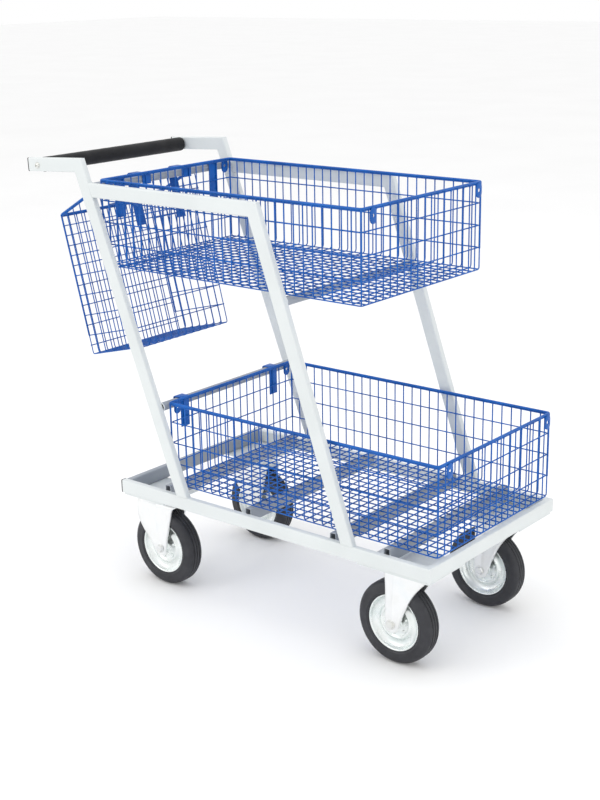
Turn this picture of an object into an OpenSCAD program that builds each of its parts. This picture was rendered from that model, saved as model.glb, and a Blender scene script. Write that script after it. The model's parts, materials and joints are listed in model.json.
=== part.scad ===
// Rolling basket trolley: tube frame on four castors, with two wide
// wire baskets and one tall rear basket that hang on it by hooks.
// Units are millimetres. +X is forward, +Y is left, +Z is up.
// Lengths along X are written from the rear end of the base rails,
// and seat() moves them so the origin is at the middle of the base.

/* [Frame] */
// overall width across the two base rails
frame_w = 503; // [490:1:520]
// length of the base rails
rail_len = 888; // [886:1:889]
// tall side of the frame tube
tube_h = 32; // [30:0.5:33]
// narrow side of the frame tube
tube_w = 16; // [14:0.5:17]
// wall of the frame tube
tube_t = 1.5; // [1.2:0.1:2]
// top of the base rails above the floor
rail_top = 270; // [270:0.5:272]
// lean of the rear posts from upright
rear_lean = 21; // [20.8:0.1:21.2]
// lean of the front posts from upright
front_lean = 19.2; // [19:0.1:19.4]
// outer corner height of the push handle
handle_top = 1033; // [1030:1:1040]
// outer corner height of the upper rails
top_rail_top = 978; // [976:0.5:978]

/* [Baskets] */
// width of the two wide baskets
wide_w = 450; // [446:1:450]
// wire thickness of the panels
wire = 3; // [2.5:0.1:3.2]
// thickness of the basket rims
rim_t = 5; // [4.5:0.1:5.5]
// width of the rear basket
tall_w = 314; // [308:1:316]
// lean of the rear basket
tall_lean = 14.3; // [14:0.1:14.6]
// lift that takes a basket off its bar
hook_drop = 12; // [10:0.5:14]

/* [Castors] */
// wheel diameter over the tyre
wheel_d = 190; // [184:1:191]
// tyre width
tyre_w = 46; // [44:1:48]
// diameter of the metal wheel disc
rim_d = 128; // [126:1:132]
// axle diameter
axle_d = 12; // [10:0.5:12]
// running clearance at each bearing, on the radius
run_gap = 0.06; // [0.04:0.01:0.08]

/* [Hidden] */
$fn = 48;
gap = 0.1;
mesh = 25;
row = 50;
y_out = frame_w/2;
y_in = frame_w/2 - tube_w;
rail_z = rail_top - tube_h;
deck_top = rail_top + 12;
wide_l = 750;
wide_h = 203;
wide_up = [-50, 783];
wide_lo = [140, deck_top + 0.2];
tall_d = 184;
tall_back = 350;
tall_front = 400;
tall_at = [-6, 575];
rear_foot = 178.3;
front_foot = 658.4;
arm_fall = 3.2;
arm_len = 180;
bar_r = 10;
rear_bar = [-62.7, 967];
low_bar = [127.3, 472];
front_bar_at = [504, wide_up[1] - bar_r - 0.2];
grip_at = [-228, 1007];
grip_r = 17.5;
front_axle_x = 760.5;
rear_axle_x = 72.7;
swivel_x = 36.7;
front_axle_y = 178;
rear_axle_y = 176;
wheel_r = wheel_d/2;
leg_in = 27;
leg_t = 3;
strap = 2.5;
x_nose = wide_lo[0] + wide_l + gap + 2;
tall_tail = tall_at[0] - tall_d*cos(tall_lean)
  - (tall_back + rim_t + gap)*sin(tall_lean);
x_mid = (x_nose + tall_tail)/2;

// height and place of the two mitred corners
rear_m = (cos(arm_fall) - sin(rear_lean))/(sin(arm_fall) + cos(rear_lean));
front_m = (1 - sin(front_lean))/cos(front_lean);
rear_drop = tube_h/cos(rear_lean)/(rear_m + tan(rear_lean));
front_drop = tube_h;
rear_corner = [rear_foot + tube_h/cos(rear_lean) - (handle_top - rail_top)*tan(rear_lean),
  handle_top];
front_corner = [front_foot + tube_h/cos(front_lean)
  - (top_rail_top - rail_top)*tan(front_lean), top_rail_top];

// ---------- shared helpers ----------

// moves lengths measured from the rail ends into the origin frame
module seat() {
  translate([-x_mid, 0, 0]) children();
}

// outline drawn in X and Z, made t thick from y to y + t
module side_plate(y, t) {
  translate([0, y + t, 0]) rotate([90, 0, 0]) linear_extrude(t) children();
}

// rounded rectangle, corner radius r, centred
module soft_rect(w, h, r) {
  square([w - 2*r, h], center = true);
  square([w, h - 2*r], center = true);
  for (i = [-1, 1]) {
    for (j = [-1, 1]) {
      translate([i*(w/2 - r), j*(h/2 - r)]) circle(r = r);
    }
  }
}

// hollow cross tube along Y, centred on x and z
module cross_tube(x, z) {
  translate([x, y_in - gap, z]) rotate([90, 0, 0]) linear_extrude(2*y_in - 2*gap) difference() {
    soft_rect(tube_w, tube_h, 2.5);
    square([tube_w - 2*tube_t, tube_h - 2*tube_t], center = true);
  }
}

// round hollow bar along Y between the posts
module round_bar(p, r) {
  translate([p[0], y_in - gap, p[1]]) rotate([90, 0, 0]) linear_extrude(2*y_in - 2*gap)
    difference() {
      circle(r = r);
      circle(r = r - tube_t);
    }
}

// edge of a leaning post at height z, for the post whose foot is at foot
function edge_x(foot, lean, z) = foot - (z - rail_top)*tan(lean);

// the Y where a frame tube starts, on the right (-1) or left (1) side
function tube_y(side) = side > 0 ? y_in : -y_out;

// hollow tube of the frame, from its outline and the outline of its bore
module frame_tube(side) {
  difference() {
    side_plate(tube_y(side), tube_w) children(0);
    side_plate(tube_y(side) + tube_t, tube_w - 2*tube_t) children(1);
  }
}

// ---------- base ----------

module rail(side) {
  s = side;
  difference() {
    translate([0, 0, rail_z]) linear_extrude(tube_h)
      polygon([[0, s*y_out], [rail_len - gap, s*y_out],
        [rail_len - gap - tube_w, s*y_in], [0, s*y_in]]);
    translate([-1, tube_y(s) + tube_t, rail_z + tube_t])
      cube([rail_len + 2, tube_w - 2*tube_t, tube_h - 2*tube_t]);
  }
}

module rail_right() {
  color("lightgray") seat() rail(-1);
}

module rail_left() {
  color("lightgray") seat() rail(1);
}

module front_rail() {
  color("lightgray") seat() difference() {
    translate([0, 0, rail_z]) linear_extrude(tube_h)
      polygon([[rail_len, -y_out], [rail_len, y_out],
        [rail_len - tube_w, y_in], [rail_len - tube_w, -y_in]]);
    translate([rail_len - tube_w + tube_t, -y_out - 1, rail_z + tube_t])
      cube([tube_w - 2*tube_t, frame_w + 2, tube_h - 2*tube_t]);
  }
}

module rear_cross() {
  color("gray") seat() cross_tube(8.5, rail_top - tube_h/2);
}

// four slats that carry the lower basket, a little above the rails
module deck_slats() {
  color("gray") seat() for (x = [138, 387, 628, 770]) {
    cross_tube(x, deck_top - tube_h/2);
  }
}

// plates welded under the four corners to carry the castors
module corner_plates() {
  color("lightgray") seat() for (s = [-1, 1]) {
    for (x = [[2, 132], [702, 884]]) {
      translate([x[0], s > 0 ? 112 : 4 - y_out, rail_z - 5 - gap])
        cube([x[1] - x[0], y_out - 4 - 112, 5]);
    }
  }
}

// black plugs in the open rear ends of the base rails
module rail_caps() {
  color("black") seat() for (s = [-1, 1]) {
    translate([-gap, s*(y_out - tube_w/2), rail_top - tube_h/2]) rotate([90, 0, 90]) {
      translate([0, 0, -4]) linear_extrude(4) soft_rect(tube_w, tube_h, 2);
      translate([0, 0, -1]) linear_extrude(13)
        square([tube_w - 2*tube_t - 0.4, tube_h - 2*tube_t - 0.4], center = true);
    }
  }
}

// ---------- posts, rails and handle ----------

module rear_post(side) {
  f = rear_foot;
  w = tube_h/cos(rear_lean);
  z0 = rail_top + gap;
  zi = handle_top - rear_drop;
  it = tube_t/cos(rear_lean);
  frame_tube(side) {
    polygon([[edge_x(f, rear_lean, z0), z0], [edge_x(f + w, rear_lean, z0), z0],
      [edge_x(f + w, rear_lean, handle_top), handle_top], [edge_x(f, rear_lean, zi), zi]]);
    polygon([[edge_x(f + it, rear_lean, 260), 260], [edge_x(f + w - it, rear_lean, 260), 260],
      [edge_x(f + w - it, rear_lean, 1060), 1060], [edge_x(f + it, rear_lean, 1060), 1060]]);
  }
}

module rear_post_right() {
  color("lightgray") seat() rear_post(-1);
}

module rear_post_left() {
  color("lightgray") seat() rear_post(1);
}

module front_post(side) {
  f = front_foot;
  w = tube_h/cos(front_lean);
  z0 = rail_top + gap;
  zt = top_rail_top;
  zi = zt - front_drop;
  it = tube_t/cos(front_lean);
  frame_tube(side) {
    polygon([[edge_x(f, front_lean, z0), z0], [edge_x(f + w, front_lean, z0), z0],
      [edge_x(f + w, front_lean, zt), zt], [edge_x(f, front_lean, zi), zi]]);
    polygon([[edge_x(f + it, front_lean, 260), 260], [edge_x(f + w - it, front_lean, 260), 260],
      [edge_x(f + w - it, front_lean, 1000), 1000], [edge_x(f + it, front_lean, 1000), 1000]]);
  }
}

module front_post_right() {
  color("lightgray") seat() front_post(-1);
}

module front_post_left() {
  color("lightgray") seat() front_post(1);
}

module top_rail(side) {
  zt = top_rail_top;
  zb = zt - tube_h;
  f = rear_foot + tube_h/cos(rear_lean) + 2*gap;
  frame_tube(side) {
    polygon([[edge_x(f, rear_lean, zb), zb],
      [front_corner[0] - front_m*front_drop - 2*gap, zb], [front_corner[0] - 2*gap, zt],
      [edge_x(f, rear_lean, zt), zt]]);
    translate([-100, zb + tube_t]) square([600, tube_h - 2*tube_t]);
  }
}

module top_rail_right() {
  color("lightgray") seat() top_rail(-1);
}

module top_rail_left() {
  color("lightgray") seat() top_rail(1);
}

// arm that carries the grip; its outline is drawn from the mitred corner
module handle_arm(side) {
  difference() {
    frame_tube(side) {
      translate([rear_corner[0] - 2*gap, rear_corner[1]]) rotate(arm_fall)
        polygon([[0, 0], [-arm_len, 0], [-arm_len, -tube_h],
          [-tube_h*tan(45 - (rear_lean - arm_fall)/2), -tube_h]]);
      translate(rear_corner) rotate(arm_fall)
        translate([-arm_len - 20, tube_t - tube_h]) square([arm_len + 60, tube_h - 2*tube_t]);
    }
    side_plate(-300, 600) translate(grip_at) circle(r = 4.1);
  }
}

module handle_arm_right() {
  color("lightgray") seat() handle_arm(-1);
}

module handle_arm_left() {
  color("lightgray") seat() handle_arm(1);
}

module arm_caps() {
  color("black") seat() for (s = [-1, 1]) {
    translate([0, s*(y_out - tube_w/2), 0]) translate([rear_corner[0] - 3*gap, 0, rear_corner[1]])
      rotate([0, -arm_fall, 0]) translate([-arm_len, 0, -tube_h/2]) rotate([90, 0, 90]) {
        translate([0, 0, -4]) linear_extrude(4) soft_rect(tube_w, tube_h, 2);
        translate([0, 0, -1]) linear_extrude(9)
          square([tube_w - 2*tube_t - 0.4, tube_h - 2*tube_t - 0.4], center = true);
      }
  }
}

module rear_top_bar() {
  color("gray") seat() round_bar(rear_bar, bar_r);
}

module rear_low_bar() {
  color("gray") seat() round_bar(low_bar, bar_r);
}

module front_bar() {
  color("gray") seat() round_bar(front_bar_at, bar_r);
}

// bar inside the grip, drilled at each end for the arm bolts
module handle_tube() {
  color("gray") seat() difference() {
    side_plate(gap - y_in, 2*y_in - 2*gap) translate(grip_at) circle(r = 12);
    side_plate(-y_in - 1, 35) translate(grip_at) circle(r = 4.1);
    side_plate(y_in - 34, 35) translate(grip_at) circle(r = 4.1);
  }
}

module handle_grip() {
  color("black") seat() side_plate(1 - y_in, 2*y_in - 2) translate(grip_at) difference() {
    circle(r = grip_r);
    circle(r = 12.05);
  }
}

module handle_bolts() {
  color("silver") seat() for (s = [-1, 1]) {
    side_plate(s > 0 ? y_in - 28 : -y_out - 2, tube_w + 30) translate(grip_at) circle(r = 4);
    side_plate(s > 0 ? y_out + gap : -y_out - gap - 5, 5) translate(grip_at) circle(r = 8);
  }
}

// ---------- castors ----------

// one leg outline of a fixed fork, with its axle hole
module front_leg() {
  difference() {
    union() {
      polygon([[743.5, 227.8], [743.5, 100], [777.5, 100], [790.5, 128], [802.5, 154], [820.5, 182],
        [835.5, 200], [856, 214], [872.5, 222.8], [872.5, 227.8]]);
      translate([front_axle_x, wheel_r]) circle(r = 18);
    }
    translate([front_axle_x, wheel_r]) circle(r = axle_d/2 + 0.05);
  }
}

module front_fork(side) {
  y = side*front_axle_y;
  side_plate(y - leg_in - leg_t, leg_t) front_leg();
  side_plate(y + leg_in, leg_t) front_leg();
  translate([744, y - leg_in - 1, 222.8]) cube([128, 2*leg_in + 2, 5]);
  translate([724, y - 55, 227.8]) cube([150, 110, rail_z - 5.2 - 227.8]);
}

module front_fork_right() {
  color("silver") seat() front_fork(-1);
}

module front_fork_left() {
  color("silver") seat() front_fork(1);
}

// axle bolt with a head and a nut outside the legs
module axle(x, y) {
  side_plate(y - 36, 72) translate([x, wheel_r]) circle(r = axle_d/2);
  side_plate(y - 36, 5.9) translate([x, wheel_r]) circle(r = 10, $fn = 6);
  side_plate(y + 30.1, 5.9) translate([x, wheel_r]) circle(r = 10, $fn = 6);
}

module front_axles() {
  color("silver") seat() for (s = [-1, 1]) {
    axle(front_axle_x, s*front_axle_y);
  }
}

module tyre(x, y) {
  translate([x, y, wheel_r]) rotate([90, 0, 0]) rotate_extrude() difference() {
    union() {
      translate([(rim_d/2 + gap + wheel_r)/2, 0])
        soft_rect(wheel_r - rim_d/2 - gap, tyre_w, 12);
      translate([rim_d/2 + gap, -tyre_w/2]) square([12, tyre_w]);
    }
    for (j = [-9, 0, 9]) {
      translate([wheel_r - 2.5, j - 1.2]) square([4, 2.4]);
    }
  }
}

module disc(x, y) {
  r0 = axle_d/2 + run_gap;
  r1 = rim_d/2;
  translate([x, y, wheel_r]) rotate([90, 0, 0]) rotate_extrude()
    polygon([[r0, -26.5], [15, -26.5], [15, -10], [40, -10], [48, -5], [r1 - 8, -5],
      [r1 - 2, -21], [r1, -21], [r1, 21], [r1 - 2, 21], [r1 - 8, 5], [48, 5],
      [40, 10], [15, 10], [15, 26.5], [r0, 26.5]]);
}

module front_tyre_right() {
  color("black") seat() tyre(front_axle_x, -front_axle_y);
}

module front_tyre_left() {
  color("black") seat() tyre(front_axle_x, front_axle_y);
}

module front_disc_right() {
  color("silver") seat() disc(front_axle_x, -front_axle_y);
}

module front_disc_left() {
  color("silver") seat() disc(front_axle_x, front_axle_y);
}

// plate and upper bearing cup of the two rear castors
module swivel_plates() {
  color("silver") seat() for (s = [-1, 1]) {
    translate([0, s*rear_axle_y, 0]) difference() {
      union() {
        translate([3, -52, 227.5]) cube([105, 104, rail_z - 5.2 - 227.5]);
        translate([swivel_x, 0, 221.5]) cylinder(r1 = 28, r2 = 34, h = 7);
      }
      translate([swivel_x, 0, 210]) cylinder(r = 6.1, h = 40);
    }
  }
}

module king_bolts() {
  color("silver") seat() for (s = [-1, 1]) {
    translate([swivel_x, s*rear_axle_y, 0]) {
      translate([0, 0, 200]) cylinder(r = 6, h = 32);
      translate([0, 0, 200]) cylinder(r = 11, h = 7, $fn = 6);
    }
  }
}

module rear_leg() {
  difference() {
    union() {
      polygon([[3, 213], [1, 178], [12, 148], [54, 100], [90, 100], [108, 140], [127, 213]]);
      translate([rear_axle_x, wheel_r]) circle(r = 18);
    }
    translate([rear_axle_x, wheel_r]) circle(r = axle_d/2 + 0.05);
  }
}

module rear_fork(side) {
  y = side*rear_axle_y;
  side_plate(y - leg_in - leg_t, leg_t) rear_leg();
  side_plate(y + leg_in, leg_t) rear_leg();
  difference() {
    union() {
      translate([3, y - leg_in - 1, 208]) cube([124, 2*leg_in + 2, 5]);
      translate([swivel_x, y, 212]) cylinder(r1 = 35, r2 = 31, h = 9);
    }
    translate([swivel_x, y, 200]) cylinder(r = 6 + run_gap, h = 30);
  }
}

module rear_fork_right() {
  color("silver") seat() rear_fork(-1);
}

module rear_fork_left() {
  color("silver") seat() rear_fork(1);
}

module rear_axle_right() {
  color("silver") seat() axle(rear_axle_x, -rear_axle_y);
}

module rear_axle_left() {
  color("silver") seat() axle(rear_axle_x, rear_axle_y);
}

module rear_tyre_right() {
  color("black") seat() tyre(rear_axle_x, -rear_axle_y);
}

module rear_tyre_left() {
  color("black") seat() tyre(rear_axle_x, rear_axle_y);
}

module rear_disc_right() {
  color("silver") seat() disc(rear_axle_x, -rear_axle_y);
}

module rear_disc_left() {
  color("silver") seat() disc(rear_axle_x, rear_axle_y);
}

// ---------- wide baskets ----------

// flat wire panel with nx by ny openings on a pitch of px by py
module grille(w, h, nx, ny) {
  px = (w - wire)/nx;
  py = (h - wire)/ny;
  difference() {
    square([w, h]);
    for (i = [0:nx - 1]) {
      for (j = [0:ny - 1]) {
        translate([wire + i*px, wire + j*py]) square([px - wire, py - wire]);
      }
    }
  }
}

// the four walls stand inside the rim line, end walls between side walls
module wide_walls(p) {
  h = wide_h - rim_t - gap;
  for (y = [-wide_w/2, wide_w/2 - wire]) {
    side_plate(y, wire) translate(p) grille(wide_l, h, 30, 4);
  }
  for (x = [0, wide_l - wire]) {
    translate([p[0] + x, wire + gap - wide_w/2, p[1]]) rotate([90, 0, 90])
      linear_extrude(wire) grille(wide_w - 2*wire - 2*gap, h, 18, 4);
  }
}

module wide_floor(p) {
  translate([p[0] + wire + gap, wire + gap - wide_w/2, p[1]]) linear_extrude(wire)
    grille(wide_l - 2*wire - 2*gap, wide_w - 2*wire - 2*gap, 30, 18);
}

module wide_rim(p) {
  for (y = [-wide_w/2, wide_w/2 - rim_t]) {
    translate([p[0], y, p[1] + wide_h - rim_t]) cube([wide_l, rim_t, rim_t]);
  }
  for (x = [0, wide_l - rim_t]) {
    translate([p[0] + x, rim_t + gap - wide_w/2, p[1] + wide_h - rim_t])
      cube([rim_t, wide_w - 2*rim_t - 2*gap, rim_t]);
  }
}

// straps that fold over the bar and run down inside the rear wall
module wide_hooks(p, bar, drop, mids) {
  xf = p[0] - gap - strap;
  xb = bar[0] - bar_r - gap;
  zl = p[1] + wide_h - drop;
  for (y = mids) {
    side_plate(y - 14, 28) difference() {
      union() {
        translate(bar) circle(r = bar_r + gap + strap);
        translate([xf, zl]) square([strap, bar[1] - zl]);
        translate([xb - strap, bar[1] - hook_drop]) square([strap, hook_drop]);
      }
      translate(bar) circle(r = bar_r + gap);
      translate([xb, bar[1] - 20]) square([2*bar_r + 2*gap, 20]);
    }
  }
}

// small drilled ears under the rim at the corners of both end walls
module wide_tabs(p) {
  for (e = [[p[0] - 2.1, -193.2], [p[0] + wide_l + gap, -187]]) {
    for (y = [e[1], 207]) {
      translate([e[0], y, p[1] + wide_h - 20]) rotate([90, 0, 90]) linear_extrude(2) difference() {
        union() {
          translate([-11, -6]) square([22, 12]);
          translate([0, -6]) circle(r = 11);
          translate([0, 6]) circle(r = 11);
        }
        circle(r = 4);
      }
    }
  }
}

module upper_rim() {
  color("royalblue") seat() wide_rim(wide_up);
}

module upper_walls() {
  color("royalblue") seat() wide_walls(wide_up);
}

module upper_floor() {
  color("royalblue") seat() wide_floor(wide_up);
}

module upper_hooks() {
  color("royalblue") seat() wide_hooks(wide_up, rear_bar, 98, [-157, 163]);
}

module upper_tabs() {
  color("royalblue") seat() wide_tabs(wide_up);
}

module lower_rim() {
  color("royalblue") seat() wide_rim(wide_lo);
}

module lower_walls() {
  color("royalblue") seat() wide_walls(wide_lo);
}

module lower_floor() {
  color("royalblue") seat() wide_floor(wide_lo);
}

module lower_hooks() {
  color("royalblue") seat() wide_hooks(wide_lo, low_bar, 73, [-168, 154]);
}

module lower_tabs() {
  color("royalblue") seat() wide_tabs(wide_lo);
}

// ---------- rear basket ----------

// local frame of the rear basket: depth back from its front wall, height up
module leaned() {
  translate([tall_at[0], 0, tall_at[1]]) rotate([0, -tall_lean, 0])
    translate([-tall_d, 0, 0]) children();
}

module tall_side() {
  b = tall_back;
  f = tall_front;
  k = (f - b)/tall_d;
  pitch = (tall_d - wire)/7;
  difference() {
    polygon([[0, 0], [tall_d, 0], [tall_d, f], [0, b]]);
    intersection() {
      polygon([[wire, wire], [tall_d - wire, wire], [tall_d - wire, f - k*wire - wire*1.05],
        [wire, b + k*wire - wire*1.05]]);
      for (i = [0:6]) {
        for (j = [0:7]) {
          translate([wire + i*pitch, wire + j*(b - wire)/7])
            square([pitch - wire, (b - wire)/7 - wire]);
        }
      }
    }
  }
}

module rear_walls() {
  color("royalblue") seat() leaned() {
    for (y = [-tall_w/2, tall_w/2 - wire]) {
      side_plate(y, wire) tall_side();
    }
    translate([0, wire + gap - tall_w/2, 0]) rotate([90, 0, 90]) linear_extrude(wire)
      grille(tall_w - 2*wire - 2*gap, tall_back, 12, 7);
    translate([tall_d - wire, wire + gap - tall_w/2, 0]) rotate([90, 0, 90])
      linear_extrude(wire) grille(tall_w - 2*wire - 2*gap, tall_front, 12, 8);
  }
}

module rear_floor() {
  color("royalblue") seat() leaned() translate([wire + gap, wire + gap - tall_w/2, 0])
    linear_extrude(wire) grille(tall_d - 2*wire - 2*gap, tall_w - 2*wire - 2*gap, 7, 12);
}

module rear_rim() {
  k = (tall_front - tall_back)/tall_d;
  color("royalblue") seat() leaned() {
    for (y = [-tall_w/2, tall_w/2 - rim_t]) {
      side_plate(y, rim_t) translate([0, gap]) polygon([[0, tall_back], [tall_d, tall_front],
        [tall_d, tall_front + rim_t], [0, tall_back + rim_t]]);
    }
    translate([0, rim_t + gap - tall_w/2, tall_back + gap])
      cube([rim_t, tall_w - 2*rim_t - 2*gap, rim_t]);
    translate([tall_d - rim_t, rim_t + gap - tall_w/2, tall_front + gap])
      cube([rim_t, tall_w - 2*rim_t - 2*gap, rim_t]);
  }
}

// two straps from the front wall over the rear top bar
module rear_hooks() {
  t = tan(tall_lean);
  g = 0.2;
  z0 = 853;
  z1 = rear_bar[1] + 4;
  zb = rear_bar[1] + bar_r + gap;
  xf = rear_bar[0] + bar_r + gap;
  x0 = tall_at[0] - (z0 - tall_at[1])*t + g;
  x1 = tall_at[0] - (z1 - tall_at[1])*t + g;
  color("royalblue") seat() for (y = [-84, 56]) {
    side_plate(y, 28) polygon([[x0, z0], [x1, z1], [x1 + 8, zb + strap],
      [xf + strap, zb + strap], [xf + strap, zb - hook_drop - 10], [xf, zb - hook_drop - 10],
      [xf, zb], [x1 + 10, zb], [x1 + strap, z1 - 2], [x0 + strap, z0]]);
  }
}

rail_right();
rail_left();
front_rail();
rear_cross();
deck_slats();
rear_post_right();
rear_post_left();
front_post_right();
front_post_left();
top_rail_right();
top_rail_left();
handle_arm_right();
handle_arm_left();
rear_top_bar();
rear_low_bar();
front_bar();
handle_tube();
handle_grip();
rail_caps();
arm_caps();
handle_bolts();
corner_plates();
front_fork_right();
front_fork_left();
front_axles();
front_tyre_right();
front_tyre_left();
front_disc_right();
front_disc_left();
swivel_plates();
king_bolts();
rear_fork_right();
rear_fork_left();
rear_axle_right();
rear_axle_left();
rear_tyre_right();
rear_tyre_left();
rear_disc_right();
rear_disc_left();
upper_rim();
upper_walls();
upper_floor();
upper_hooks();
upper_tabs();
lower_rim();
lower_walls();
lower_floor();
lower_hooks();
lower_tabs();
rear_rim();
rear_walls();
rear_floor();
rear_hooks();
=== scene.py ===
import bpy
import bmesh
import json
import math
import random
from mathutils import Matrix, Vector


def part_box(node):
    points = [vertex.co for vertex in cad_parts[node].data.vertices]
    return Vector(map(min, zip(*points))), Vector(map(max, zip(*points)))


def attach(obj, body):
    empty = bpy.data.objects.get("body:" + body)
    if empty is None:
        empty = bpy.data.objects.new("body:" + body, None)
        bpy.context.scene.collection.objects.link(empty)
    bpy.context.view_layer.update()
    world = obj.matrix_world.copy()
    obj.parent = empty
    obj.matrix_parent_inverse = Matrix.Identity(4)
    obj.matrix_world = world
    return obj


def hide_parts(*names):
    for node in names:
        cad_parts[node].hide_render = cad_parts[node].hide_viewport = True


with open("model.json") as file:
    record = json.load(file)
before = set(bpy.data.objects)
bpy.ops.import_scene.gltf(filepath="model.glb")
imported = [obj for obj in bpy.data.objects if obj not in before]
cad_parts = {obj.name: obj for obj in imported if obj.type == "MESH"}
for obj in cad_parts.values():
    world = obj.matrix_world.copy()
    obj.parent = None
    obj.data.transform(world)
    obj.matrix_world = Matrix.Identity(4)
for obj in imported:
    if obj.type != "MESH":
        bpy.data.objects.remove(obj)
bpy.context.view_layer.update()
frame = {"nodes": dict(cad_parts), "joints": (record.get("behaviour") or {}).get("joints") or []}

# lengths below are in millimetres; MM turns them into metres
MM = 0.001
TAU = 2 * math.pi
MERGE = 0.001
# radius of a lathe profile's end on its axis
CORE = 0.05


def node_box(name):
    """Corners of a CAD node in millimetres."""
    lo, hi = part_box(name)
    return lo / MM, hi / MM


# ---------------------------------------------------------------- materials

def shader(name, metallic=0.0, coat=0.0, coat_rough=0.2, specular=0.5):
    mat = bpy.data.materials.new(name)
    mat.use_nodes = True
    nt = mat.node_tree
    bsdf = nt.nodes["Principled BSDF"]
    bsdf.inputs["Metallic"].default_value = metallic
    bsdf.inputs["Coat Weight"].default_value = coat
    bsdf.inputs["Coat Roughness"].default_value = coat_rough
    bsdf.inputs["Specular IOR Level"].default_value = specular
    coords = nt.nodes.new("ShaderNodeTexCoord")
    return mat, nt, bsdf, coords.outputs["Object"]


def noise(nt, coords, scale, detail=3.0, rough=0.5, stretch=None):
    if stretch:
        m = nt.nodes.new("ShaderNodeMapping")
        m.inputs["Scale"].default_value = stretch
        nt.links.new(coords, m.inputs["Vector"])
        coords = m.outputs["Vector"]
    n = nt.nodes.new("ShaderNodeTexNoise")
    n.inputs["Scale"].default_value = scale
    n.inputs["Detail"].default_value = detail
    n.inputs["Roughness"].default_value = rough
    nt.links.new(coords, n.inputs["Vector"])
    return n.outputs["Fac"]


def ramp(nt, fac, stops):
    """Colours by position; stops are (position, (r, g, b))."""
    r = nt.nodes.new("ShaderNodeValToRGB")
    el = r.color_ramp.elements
    while len(el) < len(stops):
        el.new(0.5)
    for e, (p, c) in zip(el, stops):
        e.position = p
        e.color = (*c, 1.0)
    nt.links.new(fac, r.inputs["Fac"])
    return r.outputs["Color"]


def to_range(nt, fac, a, b, lo=0.3, hi=0.7):
    """Maps lo..hi, where most of a noise lies, to a..b."""
    m = nt.nodes.new("ShaderNodeMapRange")
    m.inputs["From Min"].default_value = lo
    m.inputs["From Max"].default_value = hi
    m.inputs["To Min"].default_value = a
    m.inputs["To Max"].default_value = b
    nt.links.new(fac, m.inputs["Value"])
    return m.outputs["Result"]


def bump(nt, bsdf, height, strength, distance):
    b = nt.nodes.new("ShaderNodeBump")
    b.inputs["Strength"].default_value = strength
    b.inputs["Distance"].default_value = distance
    nt.links.new(height, b.inputs["Height"])
    nt.links.new(b.outputs["Normal"], bsdf.inputs["Normal"])


def mix_color(nt, fac, a, b):
    m = nt.nodes.new("ShaderNodeMix")
    m.data_type = "RGBA"
    nt.links.new(fac, m.inputs["Factor"])
    nt.links.new(a, m.inputs["A"])
    nt.links.new(b, m.inputs["B"])
    return m.outputs["Result"]


def powder_coat(name, dark, light, rough=(0.30, 0.42)):
    """Sprayed and baked paint: faint orange peel, slight cloudiness, rare dust specks."""
    mat, nt, bsdf, co = shader(name, coat=0.12, coat_rough=0.25)
    cloud = noise(nt, co, 7.0, 4.0)
    tone = ramp(nt, cloud, [(0.3, dark), (0.7, light)])
    specks = noise(nt, co, 420.0, 1.0)
    mask = to_range(nt, specks, 0.0, 0.35, 0.70, 0.80)
    dust = ramp(nt, cloud, [(0.0, [c * 0.72 for c in dark]),
                            (1.0, [c * 0.78 for c in light])])
    nt.links.new(mix_color(nt, mask, tone, dust), bsdf.inputs["Base Color"])
    nt.links.new(to_range(nt, noise(nt, co, 18.0, 5.0), *rough), bsdf.inputs["Roughness"])
    bump(nt, bsdf, noise(nt, co, 900.0, 2.0), 0.12, 0.0004)
    return mat


def wire_coat(name, deep, bright):
    """Dipped plastic coat on wire: glossy, a little thicker here and there."""
    mat, nt, bsdf, co = shader(name, coat=0.06, coat_rough=0.15, specular=0.22)
    tone = ramp(nt, noise(nt, co, 16.0, 4.0), [(0.28, deep), (0.72, bright)])
    nt.links.new(tone, bsdf.inputs["Base Color"])
    nt.links.new(to_range(nt, noise(nt, co, 60.0, 3.0), 0.24, 0.42), bsdf.inputs["Roughness"])
    bump(nt, bsdf, noise(nt, co, 380.0, 3.0), 0.18, 0.0005)
    return mat


def zinc(name, tints, rough=(0.30, 0.40), grain=1.0, metal=0.75):
    """Bright zinc plate: pale crystals, faint passivation tints, fine draw lines."""
    mat, nt, bsdf, co = shader(name, metallic=metal)
    tone = ramp(nt, noise(nt, co, 26.0, 4.0),
                [(0.30, tints[0]), (0.50, tints[1]), (0.70, tints[2])])
    cells = nt.nodes.new("ShaderNodeTexVoronoi")
    cells.inputs["Scale"].default_value = 160.0
    nt.links.new(co, cells.inputs["Vector"])
    shade = ramp(nt, cells.outputs["Distance"],
                 [(0.0, tints[1]), (1.0, [c * 0.96 for c in tints[1]])])
    half = to_range(nt, noise(nt, co, 9.0, 2.0), 0.1, 0.5)
    nt.links.new(mix_color(nt, half, tone, shade), bsdf.inputs["Base Color"])
    nt.links.new(to_range(nt, noise(nt, co, 45.0, 5.0), *rough), bsdf.inputs["Roughness"])
    bump(nt, bsdf, noise(nt, co, 700.0, 3.0, 0.6, (1.0, 1.0, 0.12)), 0.05 * grain, 0.0002)
    return mat


def rubber(name, dark, dusty, rough=(0.42, 0.60)):
    """Moulded tyre rubber with pale dust rubbed into it."""
    mat, nt, bsdf, co = shader(name, specular=0.45)
    tone = ramp(nt, noise(nt, co, 22.0, 5.0, 0.6), [(0.35, dark), (0.80, dusty)])
    nt.links.new(tone, bsdf.inputs["Base Color"])
    nt.links.new(to_range(nt, noise(nt, co, 70.0, 4.0), *rough), bsdf.inputs["Roughness"])
    bump(nt, bsdf, noise(nt, co, 600.0, 4.0), 0.25, 0.0004)
    return mat


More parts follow.
